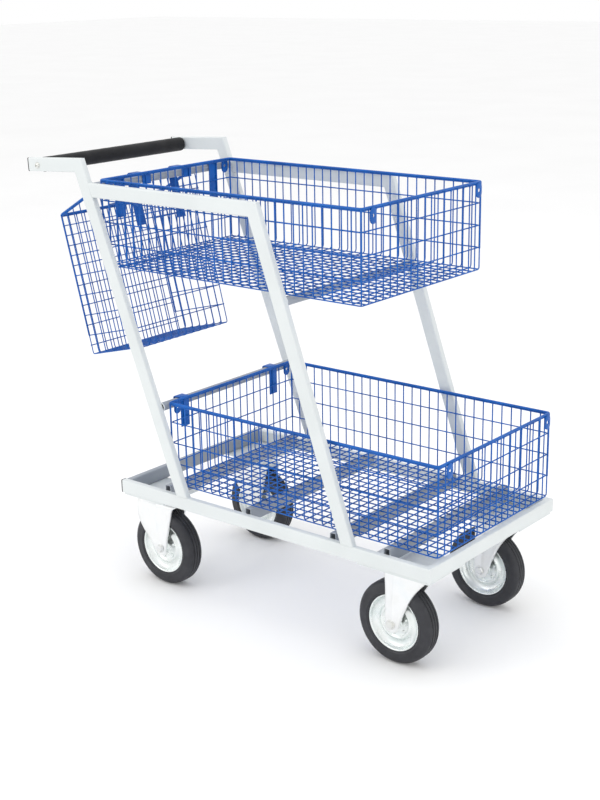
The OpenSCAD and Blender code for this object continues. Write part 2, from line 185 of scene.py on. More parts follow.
def foam(name):
    """Closed-cell foam sleeve: fine open pores and a soft sheen."""
    mat, nt, bsdf, co = shader(name, specular=0.25)
    bsdf.inputs["Sheen Weight"].default_value = 0.12
    bsdf.inputs["Sheen Roughness"].default_value = 0.5
    cells = nt.nodes.new("ShaderNodeTexVoronoi")
    cells.inputs["Scale"].default_value = 900.0
    nt.links.new(co, cells.inputs["Vector"])
    tone = ramp(nt, cells.outputs["Distance"],
                [(0.05, (0.022, 0.022, 0.025)), (0.6, (0.008, 0.008, 0.009))])
    nt.links.new(tone, bsdf.inputs["Base Color"])
    nt.links.new(to_range(nt, noise(nt, co, 30.0, 3.0), 0.72, 0.92), bsdf.inputs["Roughness"])
    bump(nt, bsdf, cells.outputs["Distance"], 0.45, 0.0004)
    return mat


def moulded(name):
    """Injection moulded black plastic with a spark-eroded grain."""
    mat, nt, bsdf, co = shader(name, specular=0.4)
    tone = ramp(nt, noise(nt, co, 50.0, 3.0),
                [(0.3, (0.012, 0.012, 0.013)), (0.8, (0.028, 0.028, 0.030))])
    nt.links.new(tone, bsdf.inputs["Base Color"])
    nt.links.new(to_range(nt, noise(nt, co, 120.0, 2.0), 0.42, 0.58), bsdf.inputs["Roughness"])
    bump(nt, bsdf, noise(nt, co, 1500.0, 2.0), 0.22, 0.0003)
    return mat


PAINT = powder_coat("frame_paint", (0.655, 0.69, 0.69), (0.705, 0.74, 0.74))
# the same frame paint made darker: painted shade for the cross tubes, the bars and the handle tube
PAINT_SHADED = powder_coat("frame_paint_shaded", (0.285, 0.315, 0.355), (0.335, 0.365, 0.41),
                       (0.34, 0.48))
BLUE = wire_coat("basket_coat", (0.003, 0.075, 0.33), (0.008, 0.125, 0.49))
ZINC = zinc("zinc_plate", [(0.84, 0.85, 0.84), (0.88, 0.89, 0.89), (0.84, 0.87, 0.88)])
DISC = zinc("zinc_disc", [(0.76, 0.82, 0.79), (0.86, 0.89, 0.88), (0.72, 0.80, 0.79)],
            (0.22, 0.34), 0.15, 0.92)
BOLT = zinc("zinc_bolt", [(0.70, 0.70, 0.66), (0.78, 0.79, 0.78), (0.70, 0.73, 0.76)],
            (0.25, 0.40), 1.6, 0.9)
TYRE = rubber("tyre_rubber", (0.018, 0.019, 0.024), (0.036, 0.037, 0.044))
FOAM = foam("grip_foam")
PLASTIC = moulded("cap_plastic")


# ---------------------------------------------------------------- mesh tools

def V(x, y, z):
    return Vector((x, y, z))


def finish_piece(name, bm, mat, body, stands_for=(), sharp=40, subsurf=0, thick=0.0,
                 flat=False):
    """Turns a bmesh in millimetres into a shaded piece on its body. Edges above sharp degrees
    stay hard, thick turns a sheet into a solid, flat keeps the shading of large faces even."""
    bmesh.ops.remove_doubles(bm, verts=bm.verts, dist=MERGE)
    bmesh.ops.recalc_face_normals(bm, faces=bm.faces)
    for v in bm.verts:
        v.co *= MM
    limit = math.radians(sharp)
    for e in bm.edges:
        e.smooth = not (len(e.link_faces) == 2 and e.calc_face_angle(0.0) > limit)
    for f in bm.faces:
        f.smooth = True
    me = bpy.data.meshes.new(name)
    bm.to_mesh(me)
    bm.free()
    ob = bpy.data.objects.new(name, me)
    bpy.context.scene.collection.objects.link(ob)
    me.materials.append(mat)
    if thick:
        m = ob.modifiers.new("Sheet", "SOLIDIFY")
        m.thickness = thick * MM
        m.offset = 0.0
    if subsurf:
        m = ob.modifiers.new("Smooth", "SUBSURF")
        m.levels = subsurf
        m.render_levels = subsurf
    if flat:
        m = ob.modifiers.new("Flats", "WEIGHTED_NORMAL")
        m.keep_sharp = True
    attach(ob, body)
    if stands_for:
        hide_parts(*stands_for)


def bridge(bm, a, b):
    """Quads between two vertex rings of the same length."""
    n = len(a)
    for i in range(n):
        bm.faces.new((a[i], a[(i + 1) % n], b[(i + 1) % n], b[i]))


def rect_profile(w, h, r, n=4):
    """Rounded rectangle as points around the origin."""
    pts = []
    for k, (sx, sy) in enumerate(((1, 1), (-1, 1), (-1, -1), (1, -1))):
        for i in range(n + 1):
            a = (k + i / n) * math.pi / 2
            pts.append((sx * (w / 2 - r) + r * math.cos(a),
                        sy * (h / 2 - r) + r * math.sin(a)))
    return pts


def round_path(pts, radius, n=4, closed=False):
    """Replaces each corner of a polyline by a short smooth bend."""
    out = []
    count = len(pts)
    for i, p in enumerate(pts):
        if not closed and i in (0, count - 1):
            out.append(p.copy())
            continue
        a, b = pts[i - 1], pts[(i + 1) % count]
        d1, d2 = (a - p), (b - p)
        cut = min(radius, d1.length * 0.45, d2.length * 0.45)
        s, e = p + d1.normalized() * cut, p + d2.normalized() * cut
        for k in range(n + 1):
            t = k / n
            out.append(s * (1 - t) ** 2 + p * 2 * t * (1 - t) + e * t * t)
    return out


def cap_ends(bm, rings):
    """One face over each end of a row of rings."""
    bm.faces.new(rings[0])
    bm.faces.new(rings[-1])


def sweep(bm, path, normal, profile, start=None, end=None):
    """Mitred sweep in a plane: profile x runs along the plane's normal, y across the path.
    start and end are cutting planes (point, normal) for ends that are not square."""
    rings = []
    count = len(path)
    for i, p in enumerate(path):
        t1 = (p - path[i - 1]).normalized() if i else (path[1] - p).normalized()
        t2 = (path[i + 1] - p).normalized() if i < count - 1 else t1
        t = (t1 + t2).normalized()
        side = normal.cross(t)
        k = 1.0 / max(t.dot(t1), 0.2)
        ring = [p + normal * a + side * (b * k) for a, b in profile]
        cut = start if i == 0 else end if i == count - 1 else None
        if cut:
            ring = [q + t * ((cut[0] - q).dot(cut[1]) / t.dot(cut[1])) for q in ring]
        rings.append([bm.verts.new(q) for q in ring])
    for a, b in zip(rings, rings[1:]):
        bridge(bm, a, b)
    cap_ends(bm, rings)


def open_tube(bm, a, b, normal, w, h, r, wall):
    """Straight tube with an open mouth at each end; w runs along the normal."""
    mouth_depth = 26
    d = (b - a).normalized()
    side = normal.cross(d)
    mouth = d * mouth_depth
    outer = rect_profile(w, h, r)
    inner = rect_profile(w - 2 * wall, h - 2 * wall, max(r - wall, 0.5))
    rings = []
    for at, prof in ((a + mouth, inner), (a, inner), (a, outer),
                     (b, outer), (b, inner), (b - mouth, inner)):
        rings.append([bm.verts.new(at + normal * x + side * y) for x, y in prof])
    for p, q in zip(rings, rings[1:]):
        bridge(bm, p, q)
    cap_ends(bm, rings)


def rod(bm, path, r, seg=8, closed=False):
    """Round wire along any polyline, with softened ends."""
    tip_length, tip_radius = 0.6, 0.55
    pts = list(path)
    if not closed:
        d0 = (pts[0] - pts[1]).normalized()
        d1 = (pts[-1] - pts[-2]).normalized()
        pts = [pts[0] + d0 * r * tip_length] + pts + [pts[-1] + d1 * r * tip_length]
    count = len(pts)
    tans = []
    for i in range(count):
        if closed:
            a, b = pts[i - 1], pts[(i + 1) % count]
        else:
            a, b = pts[max(i - 1, 0)], pts[min(i + 1, count - 1)]
        tans.append((b - a).normalized())
    up = Vector((0.12, 0.31, 0.94))
    u = (up - tans[0] * up.dot(tans[0])).normalized()
    rings = []
    for i, p in enumerate(pts):
        t = tans[i]
        u = (u - t * u.dot(t)).normalized()
        v = t.cross(u)
        rr = r * tip_radius if not closed and i in (0, count - 1) else r
        ring = []
        for k in range(seg):
            a = TAU * k / seg
            ring.append(bm.verts.new(p + (u * math.cos(a) + v * math.sin(a)) * rr))
        rings.append(ring)
    for a, b in zip(rings, rings[1:]):
        bridge(bm, a, b)
    if closed:
        bridge(bm, rings[-1], rings[0])
    else:
        cap_ends(bm, rings)


def lathe(bm, profile, centre, axis="Y", seg=96, closed=True):
    """Turns a profile of (radius, height) points about an axis through centre. A closed
    profile joins its last point to its first; an open one is capped at both ends."""
    rings = []
    for r, h in profile:
        ring = []
        for k in range(seg):
            c, s = math.cos(TAU * k / seg) * r, math.sin(TAU * k / seg) * r
            off = Vector((c, h, s)) if axis == "Y" else Vector((c, s, h))
            ring.append(bm.verts.new(centre + off))
        rings.append(ring)
    for a, b in zip(rings, rings[1:]):
        bridge(bm, a, b)
    if closed:
        bridge(bm, rings[-1], rings[0])
    else:
        cap_ends(bm, rings)


def prism(bm, outline, base, direction, height, inset):
    """Straight prism on an outline of 3D points, with a chamfered far end."""
    c = sum(outline, Vector()) / len(outline)
    a = [bm.verts.new(p + base) for p in outline]
    b = [bm.verts.new(p + base + direction * (height - inset)) for p in outline]
    bridge(bm, a, b)
    bm.faces.new(a)
    far = [bm.verts.new(c + (p - c) * (1 - inset / (p - c).length) + base + direction * height)
           for p in outline]
    bridge(bm, b, far)
    bm.faces.new(far)


def hexagon(r, axis):
    pts = []
    for k in range(6):
        c, s = math.cos(TAU * k / 6) * r, math.sin(TAU * k / 6) * r
        pts.append(Vector((c, 0, s)) if axis == "Y" else Vector((c, s, 0)))
    return pts


def plate_with_holes(name, outline, holes, thick, places, mat, body, stands_for):
    """Flat plates from an outline and round holes (x, y, radius), drawn in XY, thickened and
    softly edged, one at each place."""
    edge = 0.4
    cu = bpy.data.curves.new(name, "CURVE")
    cu.dimensions = "2D"
    cu.fill_mode = "BOTH"
    turns = [-TAU * k / 20 for k in range(20)]
    loops = [outline] + [[(x + r * math.cos(a), y + r * math.sin(a)) for a in turns]
                         for x, y, r in holes]
    for pts in loops:
        sp = cu.splines.new("POLY")
        sp.points.add(len(pts) - 1)
        for q, (x, y) in zip(sp.points, pts):
            q.co = (x * MM, y * MM, 0, 1)
        sp.use_cyclic_u = True
    cu.extrude = (thick / 2 - edge) * MM
    cu.bevel_depth = edge * MM
    cu.bevel_resolution = 1
    cu.offset = -edge * MM
    tmp = bpy.data.objects.new(name + "_tmp", cu)
    bpy.context.scene.collection.objects.link(tmp)
    bpy.context.view_layer.update()
    depsgraph = bpy.context.evaluated_depsgraph_get()
    me = bpy.data.meshes.new_from_object(tmp.evaluated_get(depsgraph))
    bpy.data.objects.remove(tmp)
    bm = bmesh.new()
    for m in places:
        part = bmesh.new()
        part.from_mesh(me)
        for v in part.verts:
            v.co = m @ (v.co / MM)
        tmp_me = bpy.data.meshes.new("tmp")
        part.to_mesh(tmp_me)
        part.free()
        bm.from_mesh(tmp_me)
        bpy.data.meshes.remove(tmp_me)
    bpy.data.meshes.remove(me)
    finish_piece(name, bm, mat, body, stands_for)


# ---------------------------------------------------------------- measures from the frame

rail_lo, rail_hi = node_box("rail_right")
X0 = rail_lo.x
RAIL_W = rail_hi.y - rail_lo.y
RAIL_H = rail_hi.z - rail_lo.z
Y_OUT = -rail_lo.y
Y_MID = Y_OUT - RAIL_W / 2
Y_IN = Y_OUT - RAIL_W
X_FRONT = node_box("front_rail")[1].x
RAIL_ZC = (rail_lo.z + rail_hi.z) / 2
CORNER_R = 3.2
TUBE_WALL = 1.5
TUBE = rect_profile(RAIL_H, RAIL_W, CORNER_R)
TUBE_SIDE = rect_profile(RAIL_W, RAIL_H, CORNER_R)
REAR_LEAN = math.radians(21.0)
FRONT_LEAN = math.radians(19.2)
ARM_FALL = math.radians(3.2)
SIDES = ((-1, "right"), (1, "left"))
# middles of the tubes across the base, from its rear end
CROSS_X = 8.5
SLATS_X = (138, 387, 628, 770)
ALONG_X, ALONG_Y, ALONG_Z = V(1, 0, 0), V(0, 1, 0), V(0, 0, 1)


# ---------------------------------------------------------------- frame

def bead(bm, pts, r, seed, closed=False):
    """A painted-over weld: a thin uneven bead along a line."""
    rng = random.Random(seed)
    shake, step = 0.25, 2.2
    fine = []
    total = len(pts)
    for i in range(total if closed else total - 1):
        a, b = pts[i], pts[(i + 1) % total]
        steps = max(2, int((b - a).length / step))
        for k in range(steps):
            fine.append(a.lerp(b, k / steps) + V(rng.uniform(-shake, shake),
                                                 rng.uniform(-shake, shake),
                                                 rng.uniform(-shake, shake)))
    if not closed:
        fine.append(pts[-1].copy())
    rod(bm, fine, r, 6, closed)


bm = bmesh.new()
front_x = X_FRONT - RAIL_W / 2
sweep(bm, [V(X0, Y_MID, RAIL_ZC), V(front_x, Y_MID, RAIL_ZC), V(front_x, -Y_MID, RAIL_ZC),
           V(X0, -Y_MID, RAIL_ZC)], ALONG_Z, TUBE)
finish_piece("base_frame", bm, PAINT, "frame",
             ["rail_right", "rail_left", "front_rail"], flat=True)

# each post is mitred to its arm or upper rail; m_rear and m_front are the runs of those mitres
# in x for one step down in z
arm_lo, arm_hi = node_box("handle_arm_right")
post_hi = node_box("rear_post_right")[1]
wide = RAIL_H / math.cos(REAR_LEAN)
front_wide = RAIL_H / math.cos(FRONT_LEAN)
m_rear = (math.cos(ARM_FALL) - math.sin(REAR_LEAN)) / (math.sin(ARM_FALL) + math.cos(REAR_LEAN))
drop = wide / (m_rear + math.tan(REAR_LEAN))
rear_c = V(arm_hi.x - m_rear * drop / 2, 0, post_hi.z - drop / 2)
arm_dir = V(-math.cos(ARM_FALL), 0, -math.sin(ARM_FALL))
post_dir = V(math.sin(REAR_LEAN), 0, -math.cos(REAR_LEAN))
arm_len = (rear_c.x - arm_lo.x) / math.cos(ARM_FALL) - RAIL_H / 2 * math.tan(ARM_FALL)
foot_run = (post_hi.z - drop / 2 - rail_hi.z + 10) / math.cos(REAR_LEAN)

fp_hi = node_box("front_post_right")[1]
top_lo, top_hi = node_box("top_rail_right")
m_front = (1 - math.sin(FRONT_LEAN)) / math.cos(FRONT_LEAN)
front_c = V(top_hi.x + 0.2 - m_front * RAIL_H / 2, 0, top_hi.z - RAIL_H / 2)
fpost_dir = V(math.sin(FRONT_LEAN), 0, -math.cos(FRONT_LEAN))
front_run = (front_c.z - rail_hi.z + 10) / math.cos(FRONT_LEAN)
post_face = V(math.cos(REAR_LEAN), 0, math.sin(REAR_LEAN))
rail_cut = (V(0, 0, rail_hi.z), ALONG_Z)
post_cut = (rear_c + post_face * (RAIL_H / 2), post_face)
for side, word in SIDES:
    y = V(0, side * Y_MID, 0)
    bm = bmesh.new()
    path = [rear_c + arm_dir * arm_len + y, rear_c + y, rear_c + post_dir * foot_run + y]
    sweep(bm, path, ALONG_Y, TUBE_SIDE, end=rail_cut)
    finish_piece("rear_post_and_arm_" + word, bm, PAINT, "frame",
                 ["rear_post_" + word, "handle_arm_" + word], flat=True)
    bm = bmesh.new()
    path = [V(top_lo.x, 0, front_c.z) + y, front_c + y, front_c + fpost_dir * front_run + y]
    sweep(bm, path, ALONG_Y, TUBE_SIDE, start=post_cut, end=rail_cut)
    finish_piece("front_post_and_top_rail_" + word, bm, PAINT, "frame",
                 ["front_post_" + word, "top_rail_" + word], flat=True)

# weld beads at the feet of the posts, at the cross tubes and at the bars, each with its own seed
FOOT_BEAD, TUBE_BEAD, BAR_BEAD = 1.5, 1.3, 1.4
SLAT_LIFT = 12
bead_half = 14
bm = bmesh.new()
seed = 1
for side in (-1, 1):
    for foot_x, w in ((post_hi.x - wide, wide), (fp_hi.x - front_wide, front_wide)):
        z = rail_hi.z + 0.6
        y0, y1 = side * (Y_IN + 1.2), side * (Y_OUT - 1.2)
        x0, x1 = foot_x + 1, foot_x + w - 1
        ring = round_path([V(x0, y0, z), V(x1, y0, z), V(x1, y1, z), V(x0, y1, z)], 3, 3, True)
        bead(bm, ring, FOOT_BEAD, seed, True)
        seed += 1
    for x in (CROSS_X, *SLATS_X):
        zc = RAIL_ZC + (0 if x == CROSS_X else SLAT_LIFT)
        z_top = min(zc + bead_half, rail_hi.z - 1)
        for dx in (-8, 8):
            xb, y = X0 + x + dx, side * (Y_IN - 0.4)
            bead(bm, [V(xb, y, zc - bead_half), V(xb, y, z_top)], TUBE_BEAD, seed)
            seed += 1
    for name in ("rear_top_bar", "rear_low_bar", "front_bar"):
        lo, hi = node_box(name)
        c = (lo + hi) / 2
        r = (hi.z - lo.z) / 2 + 0.4
        turns = [TAU * k / 16 for k in range(16)]
        ring = [V(c.x + r * math.cos(a), side * (Y_IN - 0.6), c.z + r * math.sin(a))
                for a in turns]
        bead(bm, ring, BAR_BEAD, seed, True)
        seed += 1
finish_piece("weld_beads", bm, PAINT, "frame")

# the deck tubes and the rear cross tube take the darker paint, which is painted shade
d_lo, d_hi = node_box("deck_slats")
zc = (d_lo.z + d_hi.z) / 2
bm = bmesh.new()
for x in SLATS_X:
    open_tube(bm, V(X0 + x, d_lo.y, zc), V(X0 + x, d_hi.y, zc), ALONG_X, RAIL_W, RAIL_H,
              CORNER_R, TUBE_WALL)
finish_piece("deck_tubes", bm, PAINT_SHADED, "frame", ["deck_slats"], flat=True)
c_lo, c_hi = node_box("rear_cross")
cc = (c_lo + c_hi) / 2
bm = bmesh.new()
sweep(bm, [V(cc.x, c_lo.y, cc.z), V(cc.x, c_hi.y, cc.z)], ALONG_X,
      rect_profile(c_hi.x - c_lo.x, c_hi.z - c_lo.z, CORNER_R))
finish_piece("rear_cross_tube", bm, PAINT_SHADED, "frame", ["rear_cross"], flat=True)

# CAD nodes that are kept as they are, with paint and a soft edge; all but the corner plates take
# the darker paint, which is painted shade
for name in ("rear_top_bar", "rear_low_bar", "front_bar", "corner_plates", "handle_tube"):
    ob = frame["nodes"][name]
    ob.data.materials.clear()
    ob.data.materials.append(PAINT if name == "corner_plates" else PAINT_SHADED)
    m = ob.modifiers.new("Edges", "BEVEL")
    m.width = 0.6 * MM
    m.segments = 2
    m.limit_method = "ANGLE"
    m.angle_limit = math.radians(50)


# ---------------------------------------------------------------- black plugs and the grip

def plug(bm, origin, out, normal):
    """Domed end plug: flange, rounded edge, slightly raised face."""
    side = normal.cross(out)
    rings = []
    for depth, kh, kw in ((-10.0, 0.84, 0.72), (0.02, 0.84, 0.72), (0.03, 1.0, 1.0),
                          (2.6, 1.0, 1.0), (3.4, 0.965, 0.965), (3.9, 0.86, 0.86),
                          (4.0, 0.5, 0.5)):
        pts = rect_profile(RAIL_H * kh, RAIL_W * kw, 2.2)
        rings.append([bm.verts.new(origin + out * depth + side * a + normal * b) for a, b in pts])
    for a, b in zip(rings, rings[1:]):
        bridge(bm, a, b)
    cap_ends(bm, rings)


bm = bmesh.new()
for side in (-1, 1):
    plug(bm, V(X0, side * Y_MID, RAIL_ZC), V(-1, 0, 0), ALONG_Y)
finish_piece("rail_plugs", bm, PLASTIC, "frame", ["rail_caps"], sharp=60)
bm = bmesh.new()
for side in (-1, 1):
    plug(bm, rear_c + arm_dir * arm_len + V(0, side * Y_MID, 0), arm_dir, ALONG_Y)
finish_piece("arm_plugs", bm, PLASTIC, "frame", ["arm_caps"], sharp=60)

g_lo, g_hi = node_box("handle_grip")
grip_c = (g_lo + g_hi) / 2
gr = (g_hi.z - g_lo.z) / 2
gl = (g_hi.y - g_lo.y) / 2
BORE_R = 12.1
SHOULDER = 3.6
prof = [(BORE_R, -gl), (gr - 3.2, -gl), (gr - 1.4, -gl + 0.5), (gr - 0.4, -gl + 1.6),
        (gr, -gl + SHOULDER)]
# the sleeve is very slightly wavy along its length
steps, wave = 46, 0.10
for k in range(1, steps):
    y = -gl + SHOULDER + (2 * gl - 2 * SHOULDER) * k / steps
    prof.append((gr - wave + wave * math.sin(k * 1.7), y))
prof += [(gr, gl - SHOULDER), (gr - 0.4, gl - 1.6), (gr - 1.4, gl - 0.5), (gr - 3.2, gl),
         (BORE_R, gl)]
bm = bmesh.new()
lathe(bm, prof, V(grip_c.x, 0, grip_c.z), "Y", 56)
finish_piece("foam_grip", bm, FOAM, "frame", ["handle_grip"])

# dome head with a socket, on a thin washer
ARM_BOLT = [(CORE, -14), (3.9, -14), (3.9, 0.02), (7.6, 0.03), (7.8, 0.5), (7.6, 1.1), (6.3, 1.2),
            (6.2, 2.4), (5.4, 3.8), (3.8, 4.8), (2.6, 5.0), (2.5, 2.6), (CORE, 2.6)]
bm = bmesh.new()
for side in (-1, 1):
    lathe(bm, [(r, h * side) for r, h in ARM_BOLT], V(grip_c.x, side * Y_OUT, grip_c.z), "Y", 32,
          False)
finish_piece("arm_bolts", bm, BOLT, "frame", ["handle_bolts"])


# ---------------------------------------------------------------- castors

SHEET = 2.6
# outlines of one leg going up, as (z, rear edge, front edge), the edges measured from the axle
FRONT_LEG = ((77.5, -9, 9), (81, -14, 14.5), (95, -16.5, 18.5), (112, -16.5, 24), (128, -16.5, 30),
             (154, -16.5, 42), (170, -16.5, 51), (184, -16.8, 61), (198, -17.5, 73), (212, -19, 86))
REAR_LEG = ((77.5, -9, 9), (81, -14.5, 13), (95, -20, 15), (112, -37, 17.5), (130, -54, 21.5),
            (148, -67, 26), (165, -74, 31), (182, -76, 35), (198, -76, 38))


def fork_shell(bm, axle, leg, crown_z, crown_l, crown_r, crease, lean=0.0):
    """Pressed fork: one sheet that runs up a leg, over the crown and down the other leg.
    A ridge runs up each leg at crease, and moves forward by lean on the way."""
    half, bend, ridge, flange = 28.6, 11.0, 2.4, 7.0
    lean_from, lean_over, edge_gap = 95, 130, 9
    stations = [(z, axle.x + rear, axle.x + front) for z, rear, front in leg]
    line = [(-half, z, xl, xr, V(0, -1, 0), 1.0) for z, xl, xr in stations]
    top_l, top_r = stations[-1][1], stations[-1][2]
    for k in range(1, 5):
        a = k / 4 * math.pi / 2
        t = k / 4
        line.append((-half + bend * (1 - math.cos(a)), crown_z - bend + bend * math.sin(a),
                     top_l + (crown_l - top_l) * t, top_r + (crown_r - top_r) * t,
                     V(0, -math.cos(a), math.sin(a)), 1.0 - 0.75 * t))
    line.append((-half * 0.3, crown_z, crown_l, crown_r, ALONG_Z, 0.2))
    full = line + [(-y, z, xl, xr, V(0, -n.y, n.z), f) for y, z, xl, xr, n, f in reversed(line)]
    rows = []
    for y, z, xl, xr, n, f in full:
        c = min(max(crease + lean * (z - lean_from) / lean_over, xl + edge_gap), xr - edge_gap)
        prof = [(xl + 0.6, -flange * f), (xl, -2.0), (xl + 1.8, 0), (c - 7, 0),
                (c - 2.4, ridge * f * 0.55), (c, ridge * f), (c + 2.4, ridge * f * 0.55),
                (c + 7, 0), (xr - 1.8, 0), (xr, -2.0), (xr - 0.6, -flange * f)]
        rows.append([bm.verts.new(V(x, axle.y + y, z) + n * h) for x, h in prof])
    for a, b in zip(rows, rows[1:]):
        for i in range(len(a) - 1):
            bm.faces.new((a[i], a[i + 1], b[i + 1], b[i]))


def hex_bolt(bm, centre, d, r, h, washer=True, axis="Y"):
    """Chamfered hexagon head or nut on a washer; d is +1 or -1 along the axis."""
    washer_t, chamfer = 1.4, 0.9
    unit = V(0, d, 0) if axis == "Y" else V(0, 0, d)
    at = centre
    if washer:
        prof = [(CORE, 0.0), (r * 1.22, 0.0), (r * 1.25, 0.3 * d), (r * 1.25, 1.1 * d),
                (r * 1.2, washer_t * d), (CORE, washer_t * d)]
        lathe(bm, prof, at, axis, 32, False)
        at = at + unit * washer_t
    prism(bm, hexagon(r, axis), at, unit, h, chamfer)


def tyre_mesh(name, c, half, body, stands_for, r_in, r_out):
    """Rubber tyre with a bead line on each wall and three grooves round the tread."""
    drawn_half = 23.0
    k = half / drawn_half
    wall = [(r_in + 0.4, -18 * k), (r_in + 1.6, -20.6 * k), (r_in + 5, -22.2 * k),
            (r_in + 6, -22.9 * k), (r_in + 7.4, -22.9 * k), (r_in + 8.4, -22.2 * k),
            (r_out - 11, -22.6 * k), (r_out - 6.5, -20.8 * k), (r_out - 3.2, -18.0 * k),
            (r_out - 1.3, -14.8 * k), (r_out - 0.5, -12.0 * k)]
    prof = list(wall)
    groove, spacing, crown = r_out - 2.8, 8.5, 0.3
    for g in (-spacing, 0.0, spacing):
        e = 0.0 if g == 0 else crown
        prof += [(r_out - e, (g - 2.3) * k), (r_out - e - 0.3, (g - 1.7) * k),
                 (groove, (g - 1.0) * k), (groove, (g + 1.0) * k),
                 (r_out - e - 0.3, (g + 1.7) * k), (r_out - e, (g + 2.3) * k)]
    prof += [(r, -y) for r, y in reversed(wall)]
    bm = bmesh.new()
    lathe(bm, prof, c, "Y", 112)
    finish_piece(name, bm, TYRE, body, stands_for, sharp=50)


def disc_mesh(name, c, body, stands_for, r_out):
    """Spun metal wheel disc with a hub and six rivets on each side."""
    face = [(6.3, -26.4), (12.6, -26.4), (13.6, -25.4), (14.0, -15.5), (15.2, -13.4),
            (18.0, -12.4), (24.0, -11.6), (31.5, -11.6), (33.0, -12.2), (34.0, -13.8),
            (36.0, -14.6), (38.0, -14.4), (40.0, -12.6), (42.0, -9.4), (45.0, -7.8),
            (49.5, -8.0), (54.5, -10.0), (58.0, -13.6), (60.2, -17.4), (61.2, -19.8),
            (62.4, -20.6), (r_out + 0.4, -20.4), (r_out + 0.8, -19.0)]
    prof = face + [(r, -y) for r, y in reversed(face)]
    bm = bmesh.new()
    lathe(bm, prof, c, "Y", 96)
    rivet = [(CORE, 0), (3.9, 0), (3.9, 0.7), (3.5, 1.6), (2.4, 2.4), (0.9, 2.8), (CORE, 2.85)]
    rivet_circle, rivet_y, rivets = 27.8, 11.4, 6
    for d in (-1, 1):
        for k in range(rivets):
            a = TAU * (k + 0.35) / rivets
            p = c + V(rivet_circle * math.cos(a), d * rivet_y, rivet_circle * math.sin(a))
            lathe(bm, [(r, h * d) for r, h in rivet], p, "Y", 16, False)
    finish_piece(name, bm, DISC, body, stands_for, sharp=45)


disc_lo, disc_hi = node_box("front_disc_right")
RIM_R = (disc_hi.z - disc_lo.z) / 2
joint_at = {j["name"]: Vector(j["pos_m"]) / MM for j in frame["joints"] if "pos_m" in j}


def wheel_meshes(end, word):
    """Tyre and disc of one wheel. Returns the middle of its axle."""
    centre = joint_at[f"{end}_wheel_{word}_spin"]
    body = f"{end}_wheel_{word}"
    t_lo, t_hi = node_box(f"{end}_tyre_{word}")
    tyre_mesh(f"tyre_{end}_{word}", centre, (t_hi.y - t_lo.y) / 2, body, [f"{end}_tyre_{word}"],
              RIM_R, centre.z)
    disc_mesh(f"wheel_{end}_{word}", centre, body, [f"{end}_disc_{word}"], RIM_R - 0.4)
    return centre


def axle_mesh(name, centres, body, stands_for):
    """Axle bolts with a head and a nut outside the fork and a spacer each side of the hub."""
    tip, shank, head_y, hub_y, leg_y = 35.5, 34.7, 30.4, 26.45, 27.0
    bm = bmesh.new()
    for c in centres:
        lathe(bm, [(CORE, -tip), (5.2, -tip), (6.0, -shank), (6.0, shank), (5.2, tip), (CORE, tip)],
              c, "Y", 32, False)
        for d in (-1, 1):
            hex_bolt(bm, c + V(0, d * head_y, 0), d, 9.2, 4.0)
        for d in (-1, 1):
            lathe(bm, [(6.2, hub_y * d), (11.5, hub_y * d), (11.5, leg_y * d), (6.2, leg_y * d)],
                  c, "Y", 32)
    finish_piece(name, bm, BOLT, body, stands_for)


def bolted_plate(bm, c, length, width, thick, dx, dy, bolt_r, bolt_h):
    """Castor top plate that hangs down from c, with four bolts under it."""
    down = V(0, 0, -1)
    pts = rect_profile(length, width, 12, 5)
    prism(bm, [V(c.x + a, c.y + b, 0) for a, b in pts], V(0, 0, c.z), down, thick, 0.6)
    for x in (-dx, dx):
        for y in (-dy, dy):
            hex_bolt(bm, V(c.x + x, c.y + y, c.z - thick), -1, bolt_r, bolt_h, True, "Z")


# each crown hangs CROWN_DROP below its castor's top; the front one runs from CROWN_REAR to
# CROWN_FRONT, measured from the axle
CROWN_DROP = {"front": 5.6, "rear": 9.4}
CROWN_REAR, CROWN_FRONT = -33, 111
front_centres = []
for _, word in SIDES:
    axle = wheel_meshes("front", word)
    front_centres.append(axle)
    f_lo, f_hi = node_box("front_fork_" + word)
    bm = bmesh.new()
    fork_shell(bm, axle, FRONT_LEG, f_hi.z - CROWN_DROP["front"], axle.x + CROWN_REAR,
               axle.x + CROWN_FRONT, axle.x + 2, lean=8.0)
    finish_piece("fork_front_" + word, bm, ZINC, "frame", ["front_fork_" + word],
                 sharp=80, thick=SHEET, subsurf=1)
    bm = bmesh.new()
    bolted_plate(bm, V((f_lo.x + f_hi.x) / 2, axle.y, f_hi.z), f_hi.x - f_lo.x - 1.0, 108, 4.8,
                 60, 41, 7.0, 4.5)
    finish_piece("plate_front_" + word, bm, ZINC, "frame", sharp=35)
axle_mesh("axles_front", front_centres, "frame", ["front_axles"])

s_lo, s_hi = node_box("swivel_plates")
k_lo, k_hi = node_box("king_bolts")
